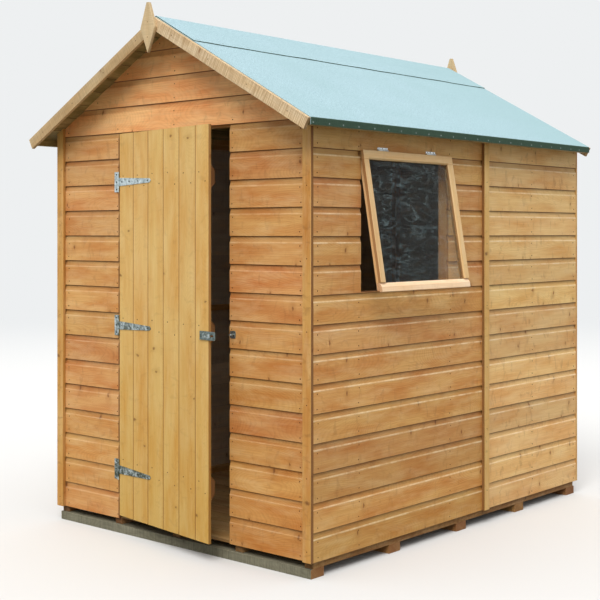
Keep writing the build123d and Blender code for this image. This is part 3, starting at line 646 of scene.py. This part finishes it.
# %% The eight boarded panels
shiplap_panel("front_left_boards", "front_wall_left", front_place, -inner_side, door_joint, range(door_rows),
              batch="front_shiplap")
shiplap_panel("front_right_boards", "front_wall_right", front_place, door_right, inner_side, range(door_rows),
              batch="deep_shiplap")
shiplap_panel("gable_boards", "front_gable", front_place, -inner_side, inner_side, range(door_rows, gable_rows),
              gable=True, batch="gable_shiplap_painted_lighter")
shiplap_panel("back_boards", "back_wall", back_place, -inner_side, inner_side, range(gable_rows), gable=True)
shiplap_panel("window_panel_boards", "right_wall_window_panel", right_place, -end_face, panel_joint,
              range(side_rows), hole=window)
shiplap_panel("right_rear_boards", "right_wall_rear_panel", right_place, panel_joint, end_face, range(side_rows),
              batch="pale_shiplap")
shiplap_panel("left_front_boards", "left_wall_front_panel", left_place, -panel_joint, end_face, range(side_rows))
shiplap_panel("left_rear_boards", "left_wall_rear_panel", left_place, -end_face, -panel_joint, range(side_rows),
              batch="pale_shiplap")

# %% [markdown]
# Posts, rails, trim and joinery are straight lengths of timber, and their CAD solids have the right shape. What
# they lack is an eased edge, which catches a thin line of light, and a grain that runs along each length. So each
# node is copied, its loose triangles are joined, its edges are bevelled, and every separate length in it gets its
# own grain along its longest edge. The seed doesn't fix which of two like lengths comes first, nor from which end its
# grain starts. So from one run to the next the tones and knots of posts, rails and trim may change a little, and the
# nails driven into them may shift by a few millimetres.

# %% Dress a node of straight timbers
arris_ease = 0.0012


def islands(mesh):
    """The separate solids of a mesh, each as a list of faces."""
    left = set(mesh.faces)
    found = []
    while left:
        queue = [left.pop()]
        group = list(queue)
        while queue:
            for edge in queue.pop().edges:
                for face in edge.link_faces:
                    if face in left:
                        left.discard(face)
                        queue.append(face)
                        group.append(face)
        found.append(group)
    return sorted(found, key=lambda group: tuple(group[0].calc_center_median()))


def copied(node):
    """A node's mesh with its doubled corners merged and its flat faces whole."""
    mesh = bmesh.new()
    mesh.from_mesh(nodes[node].data)
    bmesh.ops.remove_doubles(mesh, verts=mesh.verts, dist=1e-5)
    bmesh.ops.dissolve_limit(mesh, angle_limit=math.radians(1), verts=mesh.verts, edges=mesh.edges)
    for layer in list(mesh.loops.layers.uv):
        mesh.loops.layers.uv.remove(layer)
    return layered(mesh)


def dressed(node, slot, body="shed", along=None, outward=None, ends=1.0, finish=None):
    """outward is the direction that trim faces, whose sawn edges are painted darker than its face, partly as stain on
    the sawn wood and partly as painted shade.
    """
    mesh = copied(node)
    sharp = [edge for edge in mesh.edges if len(edge.link_faces) == 2 and edge.calc_face_angle() > math.radians(20)]
    bmesh.ops.bevel(mesh, geom=sharp, offset=arris_ease, segments=1, profile=0.5, affect="EDGES", material=-1,
                    clamp_overlap=True)
    for group in islands(mesh):
        edges = {edge for face in group for edge in face.edges}
        longest = max(edges, key=lambda edge: edge.calc_length())
        run = along or (longest.verts[1].co - longest.verts[0].co).normalized()
        lay_grain(mesh, group, run, ends=ends)
        # The sawn edges get a darker end value, as stain on the rough sawn wood and as painted shade beside the face.
        for face in group if outward else []:
            face.normal_update()
            if abs(face.normal.dot(outward)) < 0.3:
                face[mesh.faces.layers.float["end"]] = 1.5
    return finished(mesh, node + "_dressed", [finishes[finish or slot]], body, slot, node)


def repaint(piece, finish, chosen):
    """Give the chosen faces of a piece a finish of their own."""
    piece.data.materials.append(finishes[finish])
    for face in piece.data.polygons:
        face.material_index = 1 if chosen(face) else 0


for wall in ("front", "back", "left", "right"):
    for part in ("studs", "rails"):
        dressed(f"{wall}_wall_{part}", "framing_timber")
dressed("floor_joists", "joist_timber")
# Rain off the gables has greyed the outer faces of the end bearers, and the bargeboards are of two batches.
repaint(dressed("bearers", "bearer_timber"), "grey_bearer",
        lambda face: abs(face.normal.x) < 0.7 and abs(face.center.y) > 1.0)
for node in ("front_bargeboards", "rear_bargeboards"):
    repaint(dressed(node, "barge_timber"), "brown_barge", lambda face: face.center.x < 0)
# The eaves battens take the roof boards' dark finish, as painted shade under the felt's edge.
for node in ("left_roof_battens", "right_roof_battens"):
    dressed(node, "framing_timber", finish="roof_boarding")
dressed("rear_corner_strips", "trim_timber")
strips = dressed("front_corner_strips", "trim_timber", outward=to_front).data
for face in strips.polygons:        # the one on the left side keeps only a little of that darker edge
    if face.center.x < 0:
        strips.attributes["end"].data[face.index].value *= 0.3
dressed("side_cover_strips", "trim_timber", outward=to_right, finish="cover_strip")
dressed("finials", "barge_timber", along=upward, finish="finial_timber")
dressed("door_ledges", "ledge_timber", "door", ends=1.7)

# %% [markdown]
# The sash is glued joinery, and it has weathered unevenly. Its bottom rail stands out in the rain, which has washed it
# nearly cream. The sides of its stiles are painted darker, all but the face of the tongue that closes into the opening.

# %% Window sash
sash_low, sash_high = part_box("window_sash_rails")
sash_middle = (sash_low.z + sash_high.z) / 2
tongue_inset = 0.008
stiles = dressed("window_sash_stiles", "sash_timber").data
repaint(dressed("window_sash_rails", "sash_timber"), "bleached_rail", lambda face: face.center.z < sash_middle)
for face in stiles.polygons:
    from_edge = min(abs(face.center.y - sash_low.y), abs(face.center.y - sash_high.y))
    if abs(face.normal.y) > 0.9 and abs(from_edge - tongue_inset) > 0.001:
        stiles.attributes["end"].data[face.index].value = 1.3
print("sash", [round(v, 3) for v in sash_low], [round(v, 3) for v in sash_high])

# %% [markdown]
# The door is six matchboards side by side, edges bevelled so that each joint is a V. The one by the hinges is
# ripped narrower, and the last takes what is left. It is built shut, as a joiner would, and then swung
# open about its hinge by the angle at which it stands ajar.

# %% Door
board_gap = 0.0002
joint_stain_and_shade = 1.3           # dirt and painted shade in the joint, and an edge stained and painted darker as shade


def matchboards(mesh, widths, start, stop, thick, bevel, first=0.0, back=False):
    """Boards side by side, their long edges bevelled on the face, or on the back."""
    near, far, cut = (thick, 0, -bevel) if back else (0, thick, bevel)
    low = first
    for width in widths:
        high = low + width
        foot, head = low + board_gap, high - board_gap
        outline = [(near, foot), (far - cut, foot), (far, foot + bevel), (far, head - bevel), (far - cut, head),
                   (near, head)]
        faces = lay_board(mesh, outline, start, stop)
        lay_grain(mesh, faces, lengthways, crossways, low)
        for face in faces:
            # The bevels and long edges of each board are painted darker. This is dirt and stain in the V joint and on
            # the edge, and also the shade there.
            if abs(face.normal.y) > 0.3:
                face[mesh.faces.layers.float["end"]] = joint_stain_and_shade
        low = high


hinge, hasp = (next(joint for joint in frame["joints"] if joint["name"] == name)
               for name in ("door_hinge", "hasp_hinge"))
hinge_at = Vector(hinge["pos_m"])
door_angle = hinge["range_deg"][0]     # shut, counted from the door as it stands
ajar = Matrix.Rotation(math.radians(door_angle), 4, "Z")
swung = Matrix.Translation(hinge_at) @ ajar @ Matrix.Translation(-hinge_at)
door_x = (-0.359, 0.331)
door_z = (0.083, 1.8235)
door_front, door_thick = 1.072, 0.012
first_board, door_cover = 0.116, 0.1195
door_bevel = 0.0025
widths = [first_board] + [door_cover] * 4
widths.append(door_x[1] - door_x[0] - sum(widths))
door_place = laid(to_left, to_front, Vector((0, door_thick - door_front, 0)))
mesh = layered(bmesh.new())
matchboards(mesh, widths[::-1], *door_z, door_thick, door_bevel, first=-door_x[1])
finished(mesh, "door_matchboards", [finishes["door_boarding"]], "door", "door_boarding", "door_boards",
         place=swung @ door_place)
print("door ajar by", -door_angle, "degrees")

# %% [markdown]
# The floor and the roof are boarded too. Floor boards lie across the joists, and roof boards run the length
# of the shed, so that they carry the overhang at both gables. Their bevelled joints show inside, where one looks up.

# %% Floor and roof boards
floor_bevel, roof_bevel = 0.0012, 0.002
for node, count in (("front_floor_section", 11), ("rear_floor_section", 8)):
    mesh = layered(bmesh.new())
    low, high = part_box(node)
    matchboards(mesh, [(high.y - low.y) / count] * count, low.x, high.x, high.z - low.z, floor_bevel, first=low.y)
    finished(mesh, node + "_boards", [finishes["floor_boarding"]], "shed", "floor_boarding", node,
             place=laid(to_back, upward, upward * low.z))

roof_edge, roof_front, roof_thick, roof_rows = 0.875, -1.174, 0.012, 9
ridge_waste = 0.0065        # sawn off plumb at the ridge
eaves_reach = (roof_edge - roof_thick * math.sin(pitch)) / math.cos(pitch)
row_width = eaves_reach / roof_rows


def off_roof(hand):
    """The direction straight out of one slope of the roof."""
    return Vector((hand * math.sin(pitch), 0, math.cos(pitch)))


for hand, node in ((1, "right_roof_boards"), (-1, "left_roof_boards")):
    up = Vector((-hand * math.cos(pitch), 0, math.sin(pitch)))
    ends = sorted((hand * roof_front, hand * end_face))
    mesh = layered(bmesh.new())
    matchboards(mesh, [row_width] * (roof_rows - 1) + [row_width + ridge_waste], *ends, roof_thick, roof_bevel,
                first=-eaves_reach, back=True)
    bmesh.ops.transform(mesh, matrix=laid(up, off_roof(hand), upward * ridge_under), verts=mesh.verts)
    saw_off(mesh, list(mesh.faces), Vector((hand * 0.0003, 0, 0)), to_left * hand)
    finished(mesh, node + "_laid", [finishes["roof_boarding"]], "shed", "roof_boarding", node)

# %% [markdown]
# Felt is stiff once it is nailed, but never quite flat. The CAD sheet is divided along its length, its lower edge
# is trimmed a little unevenly, and the fold over the eaves is rounded. The cap over the ridge is lapped over both
# sheets, and its edges wander and lift by about a millimetre, as cut felt does.

# %% Felt sheets and ridge cap
fold_radius = 0.005
edge_wander = 0.0025
cap_wander, cap_lift = 0.005, 0.0012


def roll(y, seed):
    """A slow uneven run from 0 to 1 along the roof."""
    return 0.5 + 0.25 * (math.sin(7.1 * y + seed) + math.sin(17.3 * y + 2.3 * seed))


def divided(mesh, cuts):
    lengthwise = [edge for edge in mesh.edges if abs((edge.verts[1].co - edge.verts[0].co).normalized().y) > 0.99]
    bmesh.ops.subdivide_edges(mesh, edges=lengthwise, cuts=cuts, use_grid_fill=True)


for hand, node in ((1, "right_roof_felt"), (-1, "left_roof_felt")):
    mesh = copied(node)
    low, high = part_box(node)
    outer = max(abs(low.x), abs(high.x))
    fold = [edge for edge in mesh.edges
            if all(abs(abs(v.co.x) - outer) < 1e-4 and v.co.z > low.z + 0.01 for v in edge.verts)]
    bmesh.ops.bevel(mesh, geom=fold, offset=fold_radius, segments=3, profile=0.5, affect="EDGES", material=-1)
    divided(mesh, 47)
    for vertex in mesh.verts:
        if vertex.co.z < low.z + 0.001:
            vertex.co.z += edge_wander * roll(vertex.co.y, hand)
    # Faces that look out of the roof, and its cut ends, get the felt painted pale as if lit. The fold and the lower
    # edge get the felt painted dark as if in shade.
    for face in mesh.faces:
        face.normal_update()
        face.material_index = 0 if face.normal.dot(off_roof(hand)) > 0.97 or abs(face.normal.y) > 0.9 else 1
    finished(mesh, node + "_sheet", [lit_felt, shaded_felt], "shed", "mineral_felt", node)

mesh = copied("ridge_felt")
divided(mesh, 63)
cap_low, cap_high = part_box("ridge_felt")
for vertex in mesh.verts:
    if abs(abs(vertex.co.x) - cap_high.x) < 1e-4:
        hand, y = math.copysign(1, vertex.co.x), vertex.co.y
        vertex.co.x -= hand * cap_wander * roll(y, 4 * hand)
        vertex.co.z += cap_wander * math.tan(pitch) * roll(y, 4 * hand) + cap_lift * roll(1.7 * y, hand)
# The cap's upper faces get the felt painted pale as if lit, and its edges get the felt painted dark as if in shade.
for face in mesh.faces:
    face.normal_update()
    face.material_index = 0 if face.normal.z > 0.8 else 1
finished(mesh, "ridge_felt_cap", [lit_felt, shaded_felt], "shed", "mineral_felt", "ridge_felt")

# %% [markdown]
# Nails. A boarded wall is nailed twice wherever a board crosses a post, once near its lower edge and once under
# the hollow. The heads are small and stained by the dip, but a wall without them looks like a sheet. Each head is a
# low cone of eight sides, as there are hundreds. The posts are read from the frame, so the nails hit them.

# %% Nails in the walls
board_nails = (0.018, 0.079)        # over the lower edge of a board
gable_nail = 0.03
wander = 0.004                      # how far a nail may sit from its line
window_clear = (-0.78, -0.10, 1.12, 1.711)


def facing(point, out):
    """Place of a head that lies at a point and looks outwards."""
    return Matrix.Translation(point) @ out.to_track_quat("Z", "Y").to_matrix().to_4x4()


def nail(mesh, point, out, radius=0.003, proud=0.0004):
    bmesh.ops.create_cone(mesh, cap_ends=True, segments=8, radius1=radius, radius2=0.7 * radius, depth=2 * proud,
                          matrix=facing(point, out))


def boxes(node):
    """The lowest and highest corner of each separate solid of a node."""
    mesh = copied(node)
    found = []
    for group in islands(mesh):
        corners = [v.co.copy() for face in group for v in face.verts]
        found.append([Vector(pick(c[i] for c in corners) for i in range(3)) for pick in (min, max)])
    mesh.free()
    return found


def nail_wall(name, posts, out, axis, face, rows, gable=False, skip=None):
    mesh = bmesh.new()
    for low, high in boxes(posts):
        middle = (low[axis] + high[axis]) / 2
        for row in rows:
            for height in board_nails:
                z = row_foot(row) + height
                if not low.z - 0.03 < z < high.z + 0.03:
                    continue
                if skip and skip[0] < middle < skip[1] and skip[2] < z < skip[3]:
                    continue
                point = out * face + upward * z
                point[axis] = middle + chance.uniform(-wander, wander)
                nail(mesh, point, out)
    for row in rows if gable else []:
        for hand in (-1, 1):
            z = row_foot(row) + gable_nail
            x = (ridge_under - z) / math.tan(pitch) - 0.045
            if x > 0.05 and z > 1.86:
                nail(mesh, out * face + Vector((hand * x, 0, z)), out)
    return finished(mesh, name, [nail_zinc], "shed", "zinc_steel")


nail_wall("front_nails", "front_wall_studs", to_front, 0, end_face, range(gable_rows), gable=True)
nail_wall("back_nails", "back_wall_studs", to_back, 0, end_face, range(gable_rows), gable=True)
nail_wall("right_nails", "right_wall_studs", to_right, 1, side, range(side_rows - 1), skip=window_clear)
nail_wall("left_nails", "left_wall_studs", to_left, 1, side, range(side_rows - 1))

# %% [markdown]
# The door boards are nailed through into the three ledges, two nails a board and not quite in line. The trim is
# nailed every 30 cm or so, and the felt is held by broad clout heads, a hand's width apart along its edge.

# %% Nails in the door, the trim and the felt
ledge_nails = ((0.27, 0.024), (0.73, -0.022))       # share of the board's width, and height over the ledge's middle
mesh = bmesh.new()
left = door_x[0]
for width in widths:
    for low, high in boxes("door_ledges"):
        for across, up in ledge_nails:
            z = (low.z + high.z) / 2 + up + chance.uniform(-wander, wander)
            nail(mesh, Vector((left + width * across, -door_front, z)), to_front, radius=0.0036)
    left += width
finished(mesh, "door_nails", [nail_zinc], "door", "zinc_steel", place=swung)

mesh = bmesh.new()
strip_nails = [0.11 + 0.29 * i for i in range(6)]
strip_thick, strip_middle = 0.016, 0.022
for z in strip_nails:
    for hand in (-1, 1):
        for out in (to_front, to_back):
            nail(mesh, out * (end_face + strip_thick) + Vector((hand * (side - strip_middle), 0, z)), out)
        nail(mesh, Vector((hand * (side + strip_thick), panel_joint, z + 0.05)), to_right * hand)
finished(mesh, "trim_nails", [nail_zinc], "shed", "zinc_steel")

eaves_clouts, cap_clouts = 0.0965, 0.156            # how far apart the heads are
clout_height, cap_margin = 1.7985, 0.02
mesh = bmesh.new()
for hand in (-1, 1):
    for i in range(24):
        y = roof_front + 0.012 + i * eaves_clouts
        if y < end_face - 0.01:
            point = Vector((hand * (roof_edge + 0.003), y + chance.uniform(-0.006, 0.006), clout_height))
            nail(mesh, point, to_right * hand, radius=0.0045, proud=0.0007)
for hand in (-1, 1):
    for i in range(15):
        z = cap_low.z + cap_margin * math.tan(pitch) + 0.0032
        point = Vector((hand * (cap_high.x - cap_margin), roof_front + 0.03 + i * cap_clouts, z))
        nail(mesh, point, off_roof(hand), radius=0.0045, proud=0.0008)
finished(mesh, "felt_clouts", [clout_zinc], "shed", "zinc_steel")

mesh = bmesh.new()
barge_depth, barge_thick = 0.050, 0.016
barge_middle = ridge_under + (roof_thick - barge_depth / 2) / math.cos(pitch)       # its height at the ridge
for out, face_y in ((to_front, roof_front - barge_thick), (to_back, end_face + barge_thick)):
    for hand in (-1, 1):
        for share in (0.13, 0.38, 0.63, 0.88):
            x = share * roof_edge
            nail(mesh, Vector((hand * x, face_y, barge_middle - x * math.tan(pitch))), out)
finial_low, finial_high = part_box("finials")
for out, x, y in ((to_front, -0.020, finial_low.y), (to_back, 0.0, finial_high.y)):
    for down in (0.085, 0.150):
        nail(mesh, Vector((x, y, finial_high.z - down)), out, radius=0.0028)
finished(mesh, "gable_trim_nails", [nail_zinc], "shed", "zinc_steel")

# %% [markdown]
# The fittings are fixed with pan-head screws: a low dome with a recess for the driver. The screws in a hinge strap
# follow its taper, and those of the hasp are under its flap when it is shut, which is why a hasp is safe.

# %% Screws
def screw(mesh, point, out, radius=0.0043, height=0.0016):
    made = bmesh.ops.create_cone(mesh, cap_ends=True, segments=16, radius1=radius, radius2=0.62 * radius,
                                 depth=height, matrix=facing(point + out * height / 2, out))
    rim = {face for vertex in made["verts"] for face in vertex.link_faces}
    for face in rim:
        face.normal_update()
    top = max(rim, key=lambda face: face.normal.dot(out) * len(face.verts))
    bmesh.ops.inset_individual(mesh, faces=[top], thickness=0.3 * radius, depth=-0.5 * height)


hinge_plate, hasp_plate, staple_plate = 0.0025, 0.0015, 0.002
strap_screws, leaf_screws = (0.028, 0.088, 0.160, 0.236), (-0.034, 0.0, 0.034)
leaf_middle = 0.0205                # from the hinge's pin
staple_screw = 0.0105               # from the middle of its plate, both ways
strap_heights = [(low.z + high.z) / 2 for low, high in boxes("door_hinge_straps")]
on_door, on_shed = bmesh.new(), bmesh.new()
for z in strap_heights:
    for along in strap_screws:
        screw(on_door, Vector((hinge_at.x + along, -door_front - hinge_plate, z)), to_front)
    for up in leaf_screws:
        screw(on_shed, Vector((hinge_at.x - leaf_middle, -end_face - hinge_plate, z + up)), to_front)
print("hinges at", [round(z, 3) for z in strap_heights])
shut_pin = swung.inverted() @ Vector(hasp["pos_m"])
for along in (0.014, 0.034):
    for up in (-0.011, 0.011):
        point = Vector((shut_pin.x + along, -door_front - hasp_plate, shut_pin.z + up))
        screw(on_door, point, to_front, 0.003, 0.001)
finished(on_door, "door_screws", [screw_zinc], "door", "zinc_steel", place=swung)
low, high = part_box("hasp_staple")
for across in (-staple_screw, staple_screw):
    for up in (-staple_screw, staple_screw):
        point = Vector(((low.x + high.x) / 2 + across, -end_face - staple_plate, (low.z + high.z) / 2 + up))
        screw(on_shed, point, to_front, 0.0028, 0.0012)
for low, high in boxes("window_hinges"):
    for across in (-0.024, 0.0, 0.024):
        point = Vector((side + hinge_plate, (low.y + high.y) / 2 + across, high.z - 0.0035))
        screw(on_shed, point, to_right, 0.0024, 0.001)
finished(on_shed, "shed_screws", [screw_zinc], "shed", "zinc_steel")

# %% [markdown]
# A hasp's strap is pressed from thin plate, and a raised panel along its middle stiffens it. The panel catches the sky,
# and it is given the brighter zinc while the strap round it has a darker one, so the panel shows a painted highlight
# with painted shade round it. It is a cube drawn out to the panel's size, with well rounded edges, set a little into
# the strap. Its place is worked out with the door shut, as that of the screws is.

# %% Panel of the hasp
panel_from, panel_to, panel_high, panel_proud = 0.020, 0.070, 0.020, 0.0018
panel_corner, panel_edge = 0.006, 0.0012
strap = copied("hasp_strap")
bmesh.ops.transform(strap, matrix=swung.inverted(), verts=strap.verts)
strap_front = min(vertex.co.y for vertex in strap.verts if vertex.co.x > shut_pin.x + panel_from)
strap.free()
panel = bmesh.new()
bmesh.ops.create_cube(panel, size=1)
bmesh.ops.scale(panel, vec=(panel_to - panel_from, 2 * panel_proud, panel_high), verts=panel.verts)
corners = [edge for edge in panel.edges if abs(edge.verts[0].co.y - edge.verts[1].co.y) > panel_proud]
bmesh.ops.bevel(panel, geom=corners, offset=panel_corner, segments=4, profile=0.5, affect="EDGES", material=-1)
rim = [edge for edge in panel.edges if all(vertex.co.y < -0.9 * panel_proud for vertex in edge.verts)
       and any(abs(face.normal.y) < 0.5 for face in edge.link_faces)]
bmesh.ops.bevel(panel, geom=rim, offset=panel_edge, segments=2, profile=0.5, affect="EDGES", material=-1)
middle = Vector((shut_pin.x + (panel_from + panel_to) / 2, strap_front, shut_pin.z))
bmesh.ops.translate(panel, vec=middle, verts=panel.verts)
finished(panel, "hasp_panel", [fitting_zinc], "hasp", "zinc_steel", place=swung)

# %% [markdown]
# The remaining nodes keep their CAD shape and get their finish on its material slot.

# %% Finishes on CAD nodes
for node, material in (("door_hinge_straps", fitting_zinc), ("door_hinge_leaves", fitting_zinc),
                       ("hasp_leaf", dull_zinc), ("hasp_strap", dull_zinc), ("hasp_staple", fitting_zinc),
                       ("window_hinges", lit_zinc), ("window_stay", fitting_zinc), ("window_glass", glass)):
    nodes[node].data.materials[0] = material
print("slots repainted")
